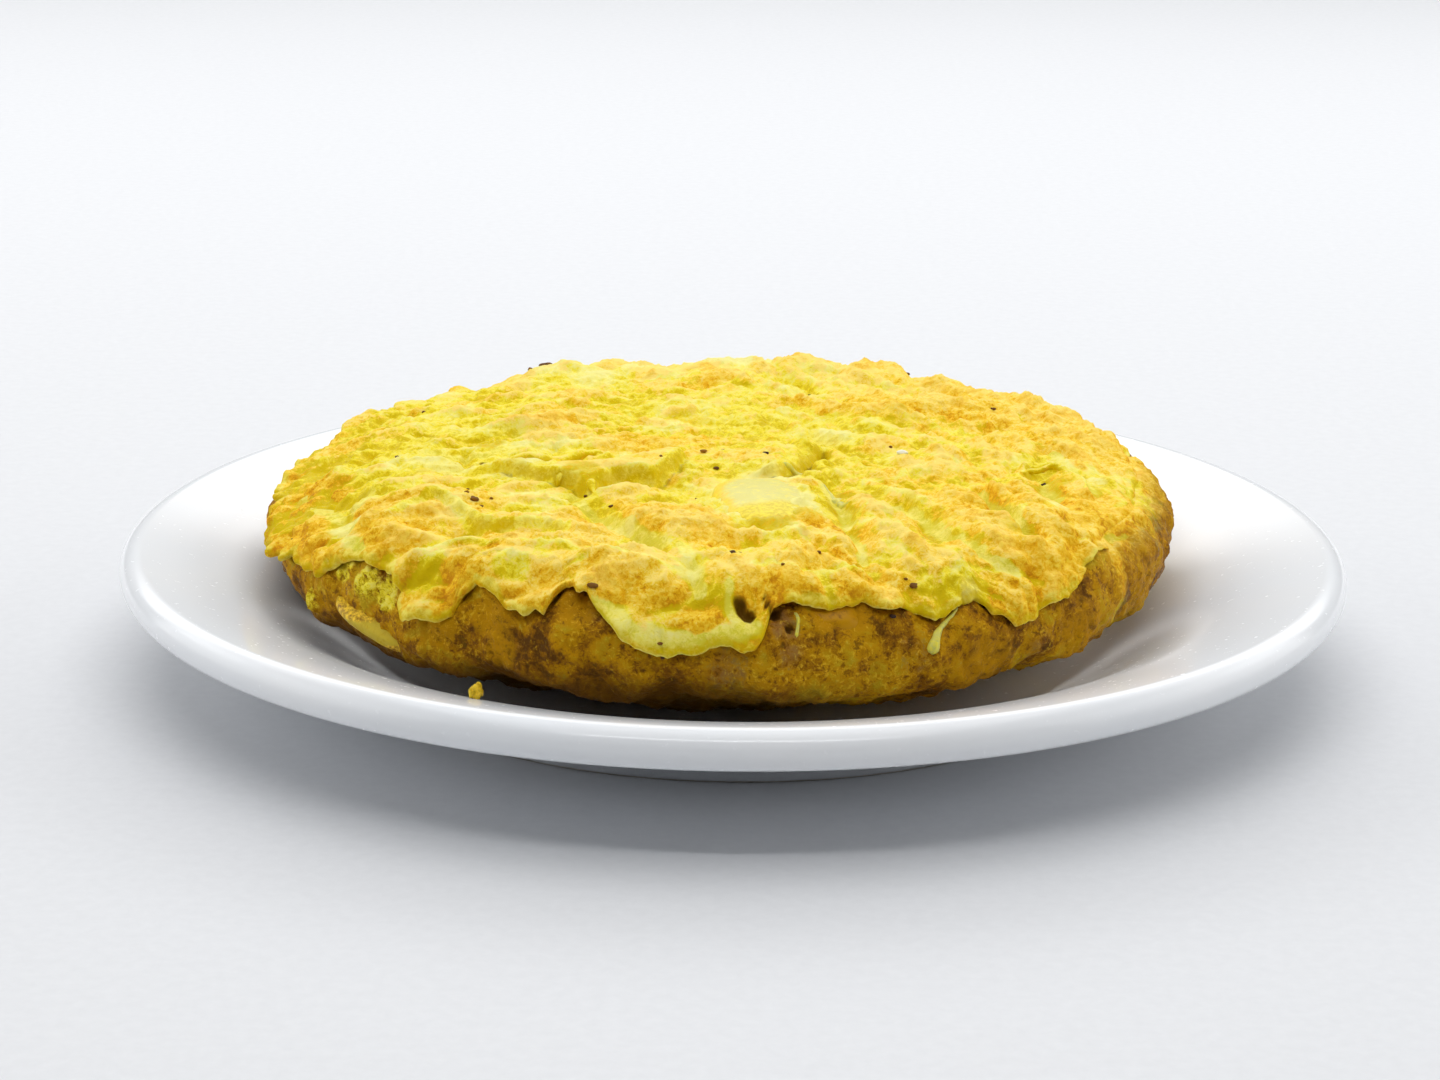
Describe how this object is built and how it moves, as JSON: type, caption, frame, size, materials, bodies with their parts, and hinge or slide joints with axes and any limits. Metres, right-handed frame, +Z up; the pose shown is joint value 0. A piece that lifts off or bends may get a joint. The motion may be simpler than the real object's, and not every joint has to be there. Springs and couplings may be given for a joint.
{
  "type": "spanish omelette on a plate",
  "caption": "Thick round potato omelette with a toasted, lobed top skin, resting on a white dinner plate.",
  "frame": {"origin": "middle of the plate's foot, on the surface that the plate stands on", "axes": "+Z up, -Y towards the side that the picture shows, +X to the right of that view"},
  "size_m": [0.27, 0.27, 0.0511],
  "materials": {
    "ceramic": "smooth glazed white porcelain",
    "omelette": "soft cooked egg, toasted yellow on top and browned at the side",
    "potato": "soft fried potato"
  },
  "bodies": {
    "root": {"plate": "ceramic", "omelette": "omelette", "potato_top": "potato", "potato_left": "potato", "potato_front": "potato"}
  },
  "joints": []
}
